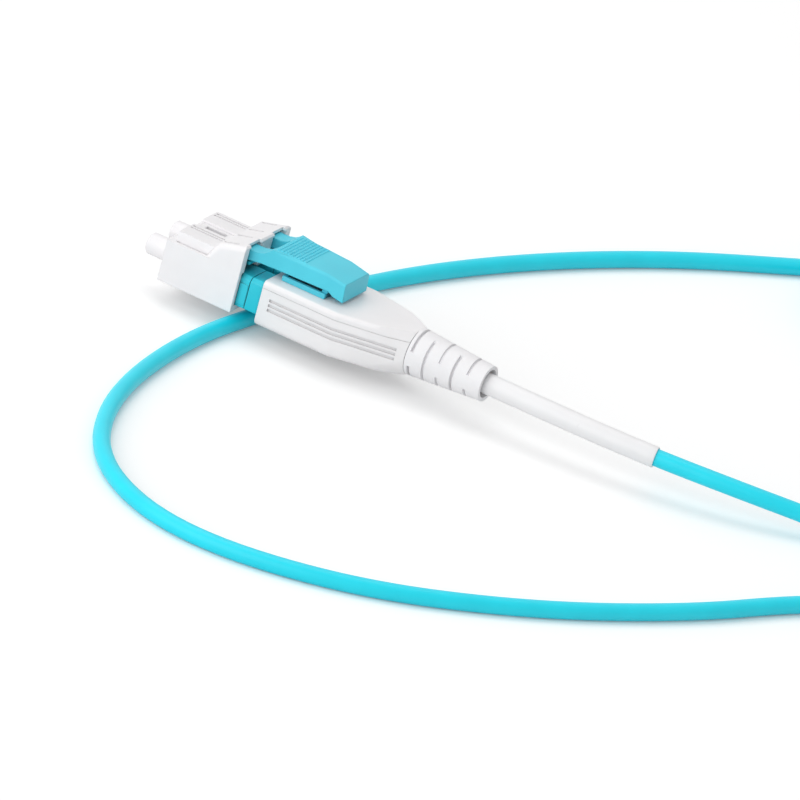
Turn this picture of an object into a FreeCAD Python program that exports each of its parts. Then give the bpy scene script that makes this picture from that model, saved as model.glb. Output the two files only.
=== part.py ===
"""A duplex LC fibre connector with one round cord, and the same connector on the cord's far end.

Millimetres. +X runs from the plug faces back along the cord, +Z is up and -Y is the connector's left side,
seen from its tail. The origin lies midway between the two ferrule axes, in the plane of the plug faces.
"""

import FreeCAD, Part
import math
import os
import re

import Sketcher
from FreeCAD import Placement, Rotation, Vector

SIZES = {
    # how far a cut runs past what it cuts
    "overrun": 1.0,
    # LC plugs
    "lc_pitch": 6.25,
    "plug_side": 4.52,
    "plug_length": 11.6,
    "plug_bevel": 0.5,
    "plug_edge": 0.15,
    "web_depth": 2.9,
    "chamber_radius": 1.6,
    "panel_height": 2.9,
    "panel_length": 1.35,
    "panel_step": 0.1,
    "panel_drop": 0.35,
    # ferrules and what carries them
    "ferrule_radius": 0.625,
    "ferrule_reach": 2.3,
    "ferrule_tip": 0.15,
    "ferrule_running": 0.06,
    "flange_radius": 1.45,
    "flange_length": 2.5,
    "flange_socket": 1.0,
    "flange_tail_radius": 0.8,
    "flange_tail_length": 2.4,
    "flange_seat": 0.04,
    "spring_wire": 0.26,
    "spring_radius": 1.18,
    "spring_turns": 5,
    "spring_play": 0.05,
    # rear bodies behind the plugs
    "seam": 0.06,
    "rear_body_length": 5.0,
    "spigot_length": 2.1,
    "spigot_play": 0.08,
    "fibre_tube_radius": 0.45,
    "fibre_tube_play": 0.15,
    "fibre_tube_gather": 0.62,
    "fibre_tube_lead": 1.5,
    "fibre_tube_end_gap": 0.4,
    # latch arms
    "latch_root_x": 1.6,
    "latch_root_radius": 0.27,
    "latch_seat": 0.03,
    "latch_end": 10.4,
    "latch_rise": 1.0,
    "latch_thickness": 0.62,
    "latch_width": 2.2,
    "latch_shoulder_x": 3.4,
    "latch_shoulder_length": 1.2,
    "latch_shoulder_width": 3.2,
    "latch_taper": 0.85,
    "latch_lead": 0.6,
    "latch_overlap": 0.02,
    # dust cap
    "cap_reach": 0.88,
    "cap_length": 11.1,
    "cap_wall": 0.7,
    "cap_fit": 0.065,
    "cap_floor": 0.775,
    "cap_roof": 0.4,
    "cap_front_wall": 0.75,
    "nose_radius": 1.5,
    "nose_length": 3.6,
    "nose_bore": 0.8,
    "nose_end": 0.55,
    "nose_bevel": 0.3,
    "nose_drop": 0.1,
    "ridge_half": 2.0,
    "ridge_foot": 2.3,
    "ridge_roof": 0.33,
    "ridge_start": 0.9,
    "ridge_rise": 1.27,
    "ridge_run_in": 0.6,
    "saddle_rise": 0.98,
    "saddle_setback": 0.35,
    "saddle_bite": 0.1,
    "saddle_run_in": 0.25,
    "saddle_slot_start": 2.2,
    "saddle_slot_length": 3.05,
    "saddle_slot_width": 0.8,
    "slit_width": 0.3,
    "slit_depth": 0.12,
    "slit_setback": 0.3,
    "ridge_slit_inner": 0.65,
    "ridge_slit_outer": 1.3,
    "foot_slit_inset": 0.06,
    "foot_slit_height": 0.3,
    "hood_slit_inner": 1.5,
    "hood_slit_outer": 5.0,
    "hood_slit_start": 0.3,
    "hood_slit_length": 2.1,
    "hood_start": 5.7,
    "hood_knee": 7.14,
    "hood_knee_rise": 2.45,
    "hood_rear_rise": 3.4,
    "hood_lip": 0.25,
    "hood_rounding": 0.8,
    "window_width": 3.6,
    "window_roof": 0.45,
    "window_start": 0.5,
    "window_bite": 0.1,
    "window_level": 0.3,
    "window_knee": 0.6,
    "window_knee_roof": 0.2,
    "window_climb": 0.58,
    "window_mouth": 0.52,
    "window_mouth_width": 2.9,
    # housing
    "housing_front": 13.75,
    "housing_shoulder": 24.6,
    "housing_rear": 34.2,
    "housing_half_width": 5.95,
    "housing_top": 2.9,
    "housing_under": 3.45,
    "housing_rounding": 1.0,
    "housing_crown": 0.6,
    "housing_end_radius": 3.25,
    "housing_end_top": 3.05,
    "housing_cone_radius": 7.4,
    "housing_wall": 0.5,
    "hollow_lead": 1.5,
    "parting_height": 1.95,
    "parting_gap": 0.03,
    "groove_start": 15.1,
    "groove_end": 33.0,
    "groove_width": 0.38,
    "groove_depth": 0.22,
    "groove_pitch": 0.67,
    # crimp
    "crimp_radius": 1.9,
    "crimp_flange_radius": 2.5,
    "crimp_flange": 1.0,
    "crimp_front": 30.2,
    "crimp_rear": 38.6,
    "crimp_bore": 1.3,
    "crimp_ring_wall": 0.38,
    "crimp_ring_front": 35.2,
    "crimp_ring_length": 3.2,
    "crimp_fit": 0.05,
    # boot
    "boot_rear": 45.05,
    "boot_rear_radius": 2.45,
    "boot_bore": 1.95,
    "boot_socket": 38.8,
    "boot_slot_start": 34.9,
    "boot_slot_pitch": 2.02,
    "boot_slot_width": 0.38,
    "boot_bridge": 1.0,
    "boot_liner": 0.25,
    # trigger and its clip
    "clip_front": 15.0,
    "clip_rear": 21.4,
    "clip_half_width": 3.6,
    "clip_plate": 0.3,
    "clip_rim": 0.7,
    "clip_rim_width": 0.5,
    "clip_post": 0.8,
    "clip_post_half_width": 3.0,
    "hinge_x": 21.0,
    "hinge_z": 4.2,
    "hinge_radius": 0.25,
    "hinge_play": 0.05,
    "finger_tip": 8.9,
    "finger_width": 2.4,
    "finger_lift": 1.64,
    "finger_depth": 1.3,
    "finger_waist": 1.48,
    "finger_foot": 0.8,
    "finger_nose": 0.85,
    "finger_swell": 0.05,
    "finger_root": 1.0,
    "finger_root_rise": 0.1,
    "waist_reach": 2.6,
    "neck_foot": 1.6,
    "neck_top": 0.8,
    "neck_rise": 0.3,
    "brow_reach": 0.2,
    "brow_drop": 0.42,
    "brow_run": 0.25,
    "plate_front": 12.8,
    "plate_top_front": 6.5,
    "plate_top_middle": 6.4,
    "plate_top_rear": 5.84,
    "plate_crown": 0.2,
    "plate_middle": 18.0,
    "plate_rear": 23.9,
    "plate_under": 4.1,
    "plate_lead": 0.6,
    "plate_droop": 3.34,
    "droop_start": 0.6,
    "droop_end": 1.4,
    "droop_step": 0.3,
    "plate_rear_lean": 0.15,
    "shoulder_start": 1.2,
    "shoulder_end": 0.8,
    "plate_half_front": 3.85,
    "plate_half_rear": 3.25,
    "plate_slot_corner": 0.9,
    "plate_rounding": 0.4,
    # cord
    "cord_diameter": 2.3,
    "cord_length": 1000,
    "cord_start": 33.4,
    "sleeve_radius": 1.42,
    "sleeve_play": 0.12,
    "sleeve_end": 69.0,
    "floor_drop": 5.9,
    "coil_radius": 13.0,
    "coil_x": 71.5,
    "coil_y": 84.0,
    "coil_columns": 4,
    "far_x": 37.0,
    "far_y": 127.0,
}

# The cord's centreline from inside the crimp, along the ground and into the coil. The connector's own axis
# is at y 0 and z 0, and a cord lying on the ground has its centreline at GROUND.
GROUND = -4.75
ROUTE = [
    (33.4, 0.0, 0.0),
    (50.0, 0.0, 0.0),
    (66.5, 1.7, -0.65),
    (81.0, 6.0, -1.7),
    (91.9, 12.1, -3.6),
    (102.2, 8.2, -4.5),
    (105.1, -2.0, GROUND),
    (98.3, -11.2, GROUND),
    (90.6, -27.1, GROUND),
    (76.9, -45.8, GROUND),
    (58.9, -61.3, GROUND),
    (37.6, -67.6, GROUND),
    (21.3, -59.3, GROUND),
    (12.1, -40.9, GROUND),
    (9.2, -16.5, GROUND),
    (12.0, 6.0, GROUND),
    (16.6, 28.1, GROUND),
    (24.9, 49.2, GROUND),
    (36.3, 68.7, GROUND),
    (50.6, 85.7, GROUND),
    (59.5, 95.2, GROUND),
]

# From the coil to the crimp of the far connector, given in the same frame.
FAR_ROUTE = [
    (74.0, 100.4, GROUND),
    (92.5, 99.4, GROUND),
    (112.0, 101.5, GROUND),
    (120.2, 109.0, GROUND),
    (120.2, 119.6, GROUND),
    (112.5, 126.9, -4.4),
    (99.0, 127.1, -3.2),
    (84.7, 127.0, -2.45),
    (70.4, 127.0, -2.45),
]

SIDES = {"left": -1, "right": 1}

# two places closer than this are the same
SAME = 1e-4

# pieces that a closed connector never shows, made for the near connector only
SEALED = ("ferrule_spring", "fibre_tube", "crimp")

doc = FreeCAD.newDocument("DuplexLcConnector")
sheet = doc.addObject("Spreadsheet::Sheet", "Sizes")


def fill_sheet():
    """Write each driving size into the sheet, with its name as the cell's alias."""
    for row, (name, number) in enumerate(SIZES.items(), 1):
        sheet.set(f"A{row}", name)
        sheet.set(f"B{row}", str(number))
        sheet.setAlias(f"B{row}", name)
    doc.recompute()


def formula(text):
    """The expression for text, in which each size is looked up in the sheet."""
    return re.sub(r"[a-z_]+", lambda word: f"Sizes.{word[0]}" if word[0] in SIZES else word[0], str(text))


def value(text):
    """The number that text comes to with the sheet's present sizes."""
    return float(sheet.evalExpression(formula(text)))


def bind(thing, path, text):
    """Tie one property of a document object to the sheet."""
    thing.setExpression(path, formula(text))


def new_body(label, side=0):
    """An empty body on the centre line, or on the axis of the plug on that side."""
    body = doc.addObject("PartDesign::Body", label)
    body.Label = label
    if side:
        bind(body, "Placement.Base.y", f"{side} * lc_pitch / 2")
    return body


def new_sketch(body, role, offset="0"):
    """A sketch on one of the body's origin planes, moved along the plane's normal by offset."""
    sketch = body.newObject("Sketcher::SketchObject", f"{body.Name}_sketch")
    plane = next(o for o in body.Origin.OriginFeatures if o.Role == role)
    sketch.AttachmentSupport = [(plane, "")]
    sketch.MapMode = "FlatFace"
    bind(sketch, "AttachmentOffset.Base.z", offset)
    return sketch


def place_point(sketch, geometry, end, across, up):
    """Fix one point of a sketch by its two coordinates."""
    for kind, text in (("DistanceX", across), ("DistanceY", up)):
        number = sketch.addConstraint(Sketcher.Constraint(kind, geometry, end, value(text)))
        bind(sketch, f"Constraints[{number}]", text)


def add_outline(sketch, corners):
    """A closed outline of straight edges, each corner given as two formulas."""
    spots = [Vector(value(across), value(up), 0) for across, up in corners]
    first = sketch.GeometryCount
    count = len(spots)
    for k in range(count):
        sketch.addGeometry(Part.LineSegment(spots[k], spots[(k + 1) % count]), False)
    for k in range(count):
        sketch.addConstraint(Sketcher.Constraint("Coincident", first + k, 2, first + (k + 1) % count, 1))
    for k, (across, up) in enumerate(corners):
        place_point(sketch, first + k, 1, across, up)


def add_box(sketch, low_across, high_across, low_up, high_up):
    """A closed rectangle."""
    add_outline(
        sketch,
        [(low_across, low_up), (high_across, low_up), (high_across, high_up), (low_across, high_up)],
    )


def add_circle(sketch, across, up, radius):
    """A circle with its centre and radius given as formulas."""
    centre = Vector(value(across), value(up), 0)
    number = sketch.addGeometry(Part.Circle(centre, Vector(0, 0, 1), value(radius)), False)
    place_point(sketch, number, 3, across, up)
    held = sketch.addConstraint(Sketcher.Constraint("Radius", number, value(radius)))
    bind(sketch, f"Constraints[{held}]", radius)


def add_feature(body, kind, sketch, length=None, both_ways=False, backwards=False):
    """A pad or pocket of the sketch, which has to change the body's volume."""
    before = body.Shape.Volume if body.Tip else 0.0
    feature = body.newObject(f"PartDesign::{kind}", f"{body.Name}_{kind.lower()}")
    feature.Profile = sketch
    if length is None:
        feature.Type = "ThroughAll"
    else:
        bind(feature, "Length", length)
    feature.Midplane = both_ways
    feature.Reversed = backwards
    doc.recompute()
    after = body.Shape.Volume
    if (after - before) * (1 if kind == "Pad" else -1) <= 1e-6:
        raise ValueError(f"{body.Label}: {feature.Name} changes no volume ({before:.4f} to {after:.4f})")
    return feature


def turn(body, kind, sketch, axis="X_Axis"):
    """A full revolution or groove of the sketch about one of the body's own axes."""
    feature = body.newObject(f"PartDesign::{kind}", f"{body.Name}_{kind.lower()}")
    feature.Profile = sketch
    feature.ReferenceAxis = (next(o for o in body.Origin.OriginFeatures if o.Role == axis), [""])
    feature.Angle = 360
    doc.recompute()
    return feature


def finish_edges(body, kind, size, chosen):
    """Round or bevel the edges of the body that chosen picks."""
    base = body.Tip
    names = [f"Edge{k}" for k, edge in enumerate(base.Shape.Edges, 1) if chosen(edge)]
    if not names:
        raise ValueError(f"{body.Label}: no edge to finish")
    feature = body.newObject(f"PartDesign::{kind}", f"{body.Name}_{kind.lower()}")
    feature.Base = (base, names)
    bind(feature, "Radius" if kind == "Fillet" else "Size", size)
    doc.recompute()
    return feature


# The plugs


def plug_section(sketch):
    """The square of a plug, with two bevels along its top and small edges below."""
    half = "plug_side / 2"
    add_outline(
        sketch,
        [
            (f"-{half} + plug_edge", f"-{half}"),
            (f"{half} - plug_edge", f"-{half}"),
            (half, f"-{half} + plug_edge"),
            (half, f"{half} - plug_bevel"),
            (f"{half} - plug_bevel", half),
            (f"-{half} + plug_bevel", half),
            (f"-{half}", f"{half} - plug_bevel"),
            (f"-{half}", f"-{half} + plug_edge"),
        ],
    )


def make_plug_body(name, side):
    """A plug's square body: a front web that the ferrule slides through, and the chamber behind it."""
    body = new_body(f"plug_body_{name}", side)
    sketch = new_sketch(body, "YZ_Plane")
    plug_section(sketch)
    add_feature(body, "Pad", sketch, "plug_length")
    panel = new_sketch(body, "XZ_Plane", f"{-side} * (plug_side / 2 + panel_step)")
    add_box(
        panel,
        "plug_length - panel_length",
        "plug_length - seam",
        "-panel_height / 2 - panel_drop",
        "panel_height / 2 - panel_drop",
    )
    add_feature(body, "Pad", panel, "panel_step + plug_edge / 2", backwards=side < 0)
    bore = new_sketch(body, "YZ_Plane")
    add_circle(bore, "0", "0", "ferrule_radius + ferrule_running")
    add_feature(body, "Pocket", bore, "web_depth + overrun", backwards=True)
    chamber = new_sketch(body, "YZ_Plane", "web_depth")
    add_circle(chamber, "0", "0", "chamber_radius")
    add_feature(body, "Pocket", chamber, "plug_length", backwards=True)
    return body


def make_rear_body(name, side):
    """The body behind a plug: its spigot closes the spring's chamber, and its tail sits in the housing."""
    body = new_body(f"rear_body_{name}", side)
    sketch = new_sketch(body, "YZ_Plane", "plug_length + seam")
    plug_section(sketch)
    add_feature(body, "Pad", sketch, "rear_body_length")
    spigot = new_sketch(body, "YZ_Plane", "plug_length + seam")
    add_circle(spigot, "0", "0", "chamber_radius - spigot_play")
    add_feature(body, "Pad", spigot, "spigot_length + seam", backwards=True)
    bore = new_sketch(body, "YZ_Plane", "plug_length - spigot_length - overrun")
    add_circle(bore, "0", "0", "fibre_tube_radius + fibre_tube_play")
    add_feature(body, "Pocket", bore, "rear_body_length + spigot_length + 3 * overrun", backwards=True)
    return body


def make_ferrule(name, side):
    """The zirconia ferrule, with its bevelled tip."""
    body = new_body(f"ferrule_{name}", side)
    sketch = new_sketch(body, "XZ_Plane")
    rear = "web_depth + flange_seat + flange_socket"
    add_outline(
        sketch,
        [
            ("-ferrule_reach", "0"),
            (rear, "0"),
            (rear, "ferrule_radius"),
            ("-ferrule_reach + ferrule_tip", "ferrule_radius"),
            ("-ferrule_reach", "ferrule_radius - ferrule_tip"),
        ],
    )
    turn(body, "Revolution", sketch)
    return body


def make_flange(name, side):
    """The flange that the ferrule is pressed into, and the tail that the spring sits round."""
    body = new_body(f"ferrule_flange_{name}", side)
    sketch = new_sketch(body, "XZ_Plane")
    front = "web_depth + flange_seat"
    add_outline(
        sketch,
        [
            (front, "ferrule_radius"),
            (f"{front} + flange_socket", "ferrule_radius"),
            (f"{front} + flange_socket", "0"),
            (f"{front} + flange_length + flange_tail_length", "0"),
            (f"{front} + flange_length + flange_tail_length", "flange_tail_radius"),
            (f"{front} + flange_length", "flange_tail_radius"),
            (f"{front} + flange_length", "flange_radius"),
            (front, "flange_radius"),
        ],
    )
    turn(body, "Revolution", sketch)
    return body


def add_shape(label, shape):
    """A piece that no sketch feature or primitive fits, from its shape."""
    piece = doc.addObject("Part::Feature", label)
    piece.Label = label
    piece.Shape = shape
    return piece


def make_spring(name, side):
    """The coil spring between the flange and the rear body, of square wire."""
    front = value("web_depth + flange_seat + flange_length + spring_play")
    rear = value("plug_length - spigot_length - spring_play")
    half = value("spring_wire / 2")
    radius = value("spring_radius")
    turns = value("spring_turns")
    pitch = (rear - front - 2 * half) / turns
    helix = Part.makeHelix(pitch, pitch * turns, radius)
    corners = [Vector(radius + a * half, 0, b * half) for a, b in ((-1, -1), (1, -1), (1, 1), (-1, 1))]
    section = Part.makePolygon([*corners, corners[0]])
    coil = Part.Wire(helix.Edges).makePipeShell([section], True, True)
    piece = add_shape(f"ferrule_spring_{name}", coil)
    piece.Placement = Placement(
        Vector(front + half, side * value("lc_pitch / 2"), 0), Rotation(Vector(0, 1, 0), 90)
    )
    return piece


def make_latch_arm(name, side):
    """The latch arm: a round root on the plug, shoulders that catch the adapter, and a rising tail."""
    body = new_body(f"latch_arm_{name}", side)
    root_z = "plug_side / 2 + latch_seat + latch_root_radius"
    slope = "(latch_rise / (latch_end - latch_root_x))"
    low = f"{root_z} - latch_root_radius"
    sketch = new_sketch(body, "XZ_Plane")
    add_outline(
        sketch,
        [
            ("latch_root_x", low),
            ("latch_end", f"{low} + latch_rise"),
            ("latch_end", f"{low} + latch_rise + latch_thickness * latch_taper"),
            ("latch_root_x", f"{low} + latch_thickness"),
        ],
    )
    add_feature(body, "Pad", sketch, "latch_width", both_ways=True)
    root = new_sketch(body, "XZ_Plane")
    add_circle(root, "latch_root_x", root_z, "latch_root_radius")
    add_feature(body, "Pad", root, "latch_width", both_ways=True)
    shoulder = new_sketch(body, "XZ_Plane")
    start = "latch_shoulder_x - latch_root_x"
    stop = f"{start} + latch_shoulder_length"
    add_outline(
        shoulder,
        [
            ("latch_shoulder_x", f"{low} + {slope} * ({start}) + latch_overlap"),
            ("latch_shoulder_x + latch_shoulder_length", f"{low} + {slope} * ({stop}) + latch_overlap"),
            ("latch_shoulder_x + latch_shoulder_length", f"{low} + {slope} * ({stop}) + latch_thickness"),
            ("latch_shoulder_x", f"{low} + {slope} * ({start}) + latch_thickness * latch_lead"),
        ],
    )
    add_feature(body, "Pad", shoulder, "latch_shoulder_width", both_ways=True)
    return body


# The dust cap


def make_dust_cap():
    """The cap over both plugs: a shell with two closed noses, a ridge over each latch arm and a hood."""
    body = new_body("dust_cap")
    front = "-cap_reach"
    rear = "-cap_reach + cap_length"
    top = "plug_side / 2 + cap_fit + cap_roof"
    floor = "-(plug_side / 2 + cap_fit + cap_floor)"
    shell = new_sketch(body, "XZ_Plane")
    add_outline(
        shell,
        [
            (front, floor),
            (rear, floor),
            (rear, f"{top} + hood_rear_rise - hood_lip"),
            (f"{rear} - hood_lip", f"{top} + hood_rear_rise"),
            (f"{front} + hood_knee", f"{top} + hood_knee_rise"),
            (f"{front} + hood_start", top),
            (front, top),
        ],
    )
    width = "lc_pitch + plug_side + 2 * (cap_fit + cap_wall)"
    add_feature(body, "Pad", shell, width, both_ways=True)
    outside, foot = value(f"({width}) / 2"), value(top)
    roof_start, roof_end = value(f"{front} + hood_start"), value(f"{rear} - hood_lip")

    def is_hood_side(edge):
        low, high = sorted(vertex.Point.x for vertex in edge.Vertexes)
        middle = edge.CenterOfMass
        along = low > roof_start - SAME and high < roof_end + SAME
        return along and abs(abs(middle.y) - outside) < SAME and middle.z > foot

    finish_edges(body, "Fillet", "hood_rounding", is_hood_side)
    ridges = new_sketch(body, "YZ_Plane", f"{front} + ridge_start")
    for side in SIDES.values():
        axis = f"{side} * lc_pitch / 2"
        add_outline(
            ridges,
            [
                (f"{axis} - ridge_foot", f"{top} - cap_roof / 2"),
                (f"{axis} + ridge_foot", f"{top} - cap_roof / 2"),
                (f"{axis} + ridge_half", f"{top} + ridge_rise"),
                (f"{axis} - ridge_half", f"{top} + ridge_rise"),
            ],
        )
    add_feature(body, "Pad", ridges, "hood_knee + ridge_run_in - ridge_start")
    saddle = new_sketch(body, "YZ_Plane", f"{front} + ridge_start + saddle_setback")
    inner = "lc_pitch / 2 - ridge_half + saddle_bite"
    add_box(saddle, f"-({inner})", inner, f"{top} - cap_roof / 2", f"{top} + saddle_rise")
    add_feature(body, "Pad", saddle, "hood_knee + saddle_run_in - ridge_start")
    noses = new_sketch(body, "YZ_Plane", front)
    for side in SIDES.values():
        add_circle(noses, f"{side} * lc_pitch / 2", "-nose_drop", "nose_radius")
    add_feature(body, "Pad", noses, "nose_length", backwards=True)
    cavity = new_sketch(body, "YZ_Plane", f"{front} + cap_front_wall")
    half = "(lc_pitch + plug_side) / 2 + cap_fit"
    add_box(cavity, f"-({half})", half, "-plug_side / 2 - cap_fit", "plug_side / 2 + cap_fit")
    add_feature(body, "Pocket", cavity, "cap_length", backwards=True)
    knee = f"{top} + hood_knee_rise - window_roof + window_knee_roof"
    for side in SIDES.values():
        channel = new_sketch(body, "XZ_Plane", f"{-side} * lc_pitch / 2")
        add_outline(
            channel,
            [
                (f"{front} + ridge_start + window_start", "plug_side / 2 - window_bite"),
                (f"{rear} + overrun", "plug_side / 2 - window_bite"),
                (f"{rear} + overrun", f"{top} + hood_rear_rise - window_roof"),
                (f"{rear} - window_level", f"{top} + hood_rear_rise - window_roof"),
                (f"{front} + hood_knee + window_knee", knee),
                (f"{front} + hood_start + window_climb", f"{top} + ridge_rise - ridge_roof"),
                (f"{front} + ridge_start + window_start", f"{top} + ridge_rise - ridge_roof"),
            ],
        )
        add_feature(body, "Pocket", channel, "window_width", both_ways=True)
    bores = new_sketch(body, "YZ_Plane", f"{front} + cap_front_wall")
    for side in SIDES.values():
        add_circle(bores, f"{side} * lc_pitch / 2", "0", "nose_bore")
    add_feature(body, "Pocket", bores, "nose_length + cap_front_wall - nose_end")
    mouths = new_sketch(body, "XY_Plane", "plug_side")
    slot = new_sketch(body, "XY_Plane")
    for side in SIDES.values():
        axis = f"{side} * lc_pitch / 2"
        half = "window_mouth_width / 2"
        ends = (f"{rear} - window_mouth", f"{rear} + overrun")
        add_box(mouths, *ends, f"{axis} - {half}", f"{axis} + {half}")
    add_feature(body, "Pocket", mouths, "plug_side", backwards=True)
    start = f"{front} + saddle_slot_start"
    half = "saddle_slot_width / 2"
    add_box(slot, start, f"{start} + saddle_slot_length", f"-{half}", half)
    add_feature(body, "Pocket", slot, "plug_side", backwards=True)
    add_cap_slits(body, front, top)
    tip = value(f"{front} - nose_length")
    finish_edges(body, "Chamfer", "nose_bevel", lambda edge: abs(edge.CenterOfMass.x - tip) < SAME)
    return body


def add_cap_slits(body, front, top):
    """Shallow slits along the ridges' tops and feet, and four short ones that follow the hood's slope."""
    crown = f"{top} + ridge_rise"
    ridge = new_sketch(body, "YZ_Plane", f"{front} + ridge_start + slit_setback")
    for side in SIDES.values():
        for offset in ("ridge_slit_inner", "ridge_slit_outer"):
            centre = f"{side} * lc_pitch / 2 + {offset}"
            low, high = f"{centre} - slit_width / 2", f"{centre} + slit_width / 2"
            add_box(ridge, low, high, f"{crown} - slit_depth", f"{crown} + overrun")
        foot = f"{side} * (lc_pitch / 2 + ridge_foot - foot_slit_inset)"
        ends = (foot, f"{foot} + {side} * slit_width")
        add_box(ridge, *ends, f"{top} - slit_depth", f"{top} + foot_slit_height")
    add_feature(body, "Pocket", ridge, "hood_start - ridge_start", backwards=True)
    slope = "(hood_rear_rise - hood_knee_rise) / (cap_length - hood_lip - hood_knee)"
    begin = "hood_slit_start"
    end = "(hood_slit_start + hood_slit_length)"
    base = f"{top} + hood_knee_rise"
    for side in SIDES.values():
        for offset in ("hood_slit_inner", "hood_slit_outer"):
            slit = new_sketch(body, "XZ_Plane", f"{-side} * {offset}")
            add_outline(
                slit,
                [
                    (f"{front} + hood_knee + {begin}", f"{base} + {begin} * {slope} - slit_depth"),
                    (f"{front} + hood_knee + {end}", f"{base} + {end} * {slope} - slit_depth"),
                    (f"{front} + hood_knee + {end}", f"{top} + hood_rear_rise + overrun"),
                    (f"{front} + hood_knee + {begin}", f"{top} + hood_rear_rise + overrun"),
                ],
            )
            add_feature(body, "Pocket", slit, "slit_width", both_ways=True)


# The housing


def add_housing_form(body):
    """The housing's outer form: a long box drawn in towards its rear, and turned round at its end."""
    side = new_sketch(body, "XZ_Plane")
    add_outline(
        side,
        [
            ("housing_front", "-housing_under"),
            ("housing_shoulder", "-housing_under"),
            ("housing_rear", "-housing_end_radius"),
            ("housing_rear", "housing_end_top"),
            ("housing_shoulder", "housing_top"),
            ("housing_front", "housing_top"),
        ],
    )
    add_feature(body, "Pad", side, "2 * housing_half_width", both_ways=True)
    plan = new_sketch(body, "XY_Plane")
    for sign in ("", "-"):
        add_outline(
            plan,
            [
                ("housing_shoulder", f"{sign}housing_half_width"),
                ("housing_rear", f"{sign}housing_end_radius"),
                ("housing_rear + overrun", f"{sign}housing_end_radius"),
                ("housing_rear + overrun", f"{sign}(housing_half_width + overrun)"),
                ("housing_shoulder", f"{sign}(housing_half_width + overrun)"),
            ],
        )
    add_feature(body, "Pocket", plan, "4 * housing_under", both_ways=True)
    top = value("housing_top")

    def is_long_edge(edge, up):
        middle = edge.CenterOfMass
        along = abs(edge.tangentAt(edge.FirstParameter).x) > 0.8
        return along and abs(middle.y) > value("housing_end_radius") - SAME and middle.z * up > 0.8 * top

    finish_edges(body, "Fillet", "housing_rounding", lambda edge: is_long_edge(edge, -1))
    finish_edges(body, "Fillet", "housing_crown", lambda edge: is_long_edge(edge, 1))
    cone = new_sketch(body, "XZ_Plane")
    reach = "(housing_half_width + housing_under)"
    add_outline(
        cone,
        [
            ("housing_rear", "housing_end_radius"),
            ("housing_rear + overrun", "housing_end_radius"),
            ("housing_rear + overrun", f"2 * {reach}"),
            ("housing_shoulder", f"2 * {reach}"),
            ("housing_shoulder", "housing_cone_radius"),
        ],
    )
    turn(body, "Groove", cone)


def make_housing_shell(label, keep_top):
    """One of the two shells, split at the parting plane, that close round the rear bodies and the crimp."""
    body = new_body(label)
    add_housing_form(body)
    seat = new_sketch(body, "YZ_Plane", "housing_front - overrun")
    half = "(lc_pitch + plug_side) / 2 + cap_fit"
    add_box(seat, f"-({half})", half, "-plug_side / 2 - cap_fit", "plug_side / 2 + cap_fit")
    add_feature(body, "Pocket", seat, "housing_shoulder - housing_front", backwards=True)
    hollow = new_sketch(body, "XY_Plane")
    front_reach = "housing_half_width - 2 * housing_wall"
    rear_reach = "crimp_flange_radius + crimp_fit"
    add_outline(
        hollow,
        [
            ("housing_shoulder - hollow_lead", f"-({front_reach})"),
            ("housing_shoulder", f"-({front_reach})"),
            ("crimp_front + crimp_flange", f"-({rear_reach})"),
            ("crimp_front + crimp_flange", rear_reach),
            ("housing_shoulder", front_reach),
            ("housing_shoulder - hollow_lead", front_reach),
        ],
    )
    add_feature(body, "Pocket", hollow, "plug_side + 2 * cap_fit", both_ways=True)
    flange_room = new_sketch(body, "YZ_Plane", "crimp_front - crimp_fit")
    add_circle(flange_room, "0", "0", rear_reach)
    add_feature(body, "Pocket", flange_room, "crimp_flange + 2 * crimp_fit", backwards=True)
    bore = new_sketch(body, "YZ_Plane", "crimp_front")
    add_circle(bore, "0", "0", "crimp_radius + crimp_fit")
    add_feature(body, "Pocket", bore, "housing_rear - crimp_front + overrun", backwards=True)
    if not keep_top:
        add_side_grooves(body)
    away = new_sketch(body, "XZ_Plane")
    if keep_top:
        limits = ("-housing_under - 2 * overrun", "parting_height + parting_gap / 2")
    else:
        limits = ("parting_height - parting_gap / 2", "housing_top + 2 * overrun")
    add_box(away, "housing_front - 2 * overrun", "housing_rear + 2 * overrun", *limits)
    add_feature(body, "Pocket", away, "4 * housing_half_width", both_ways=True)
    return body


def add_side_grooves(body):
    """Three shallow grooves along each side, following the side where it draws in."""
    taper = "(housing_half_width - housing_end_radius) / (housing_rear - housing_shoulder)"
    near_end = f"housing_half_width - groove_depth - {taper} * (groove_end - housing_shoulder)"
    sketch = new_sketch(body, "XY_Plane", "-groove_pitch")
    for side in ("", "-"):
        add_outline(
            sketch,
            [
                ("groove_start", f"{side}(housing_half_width - groove_depth)"),
                ("housing_shoulder", f"{side}(housing_half_width - groove_depth)"),
                ("groove_end", f"{side}({near_end})"),
                ("groove_end", f"{side}(housing_half_width + overrun)"),
                ("groove_start", f"{side}(housing_half_width + overrun)"),
            ],
        )
    groove = add_feature(body, "Pocket", sketch, "groove_width", both_ways=True)
    pattern = body.newObject("PartDesign::LinearPattern", f"{body.Name}_grooves")
    pattern.Originals = [groove]
    pattern.Direction = (sketch, ["N_Axis"])
    bind(pattern, "Length", "2 * groove_pitch")
    pattern.Occurrences = 3
    body.Tip = pattern
    doc.recompute()


# The crimp and the boot


def make_crimp_body():
    """The metal tube that the cord's yarns are crimped on, held in the housing by its flange."""
    body = new_body("crimp_body")
    sketch = new_sketch(body, "XZ_Plane")
    add_outline(
        sketch,
        [
            ("crimp_front", "crimp_bore"),
            ("crimp_rear", "crimp_bore"),
            ("crimp_rear", "crimp_radius"),
            ("crimp_front + crimp_flange", "crimp_radius"),
            ("crimp_front + crimp_flange", "crimp_flange_radius"),
            ("crimp_front", "crimp_flange_radius"),
        ],
    )
    turn(body, "Revolution", sketch)
    return body


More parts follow.
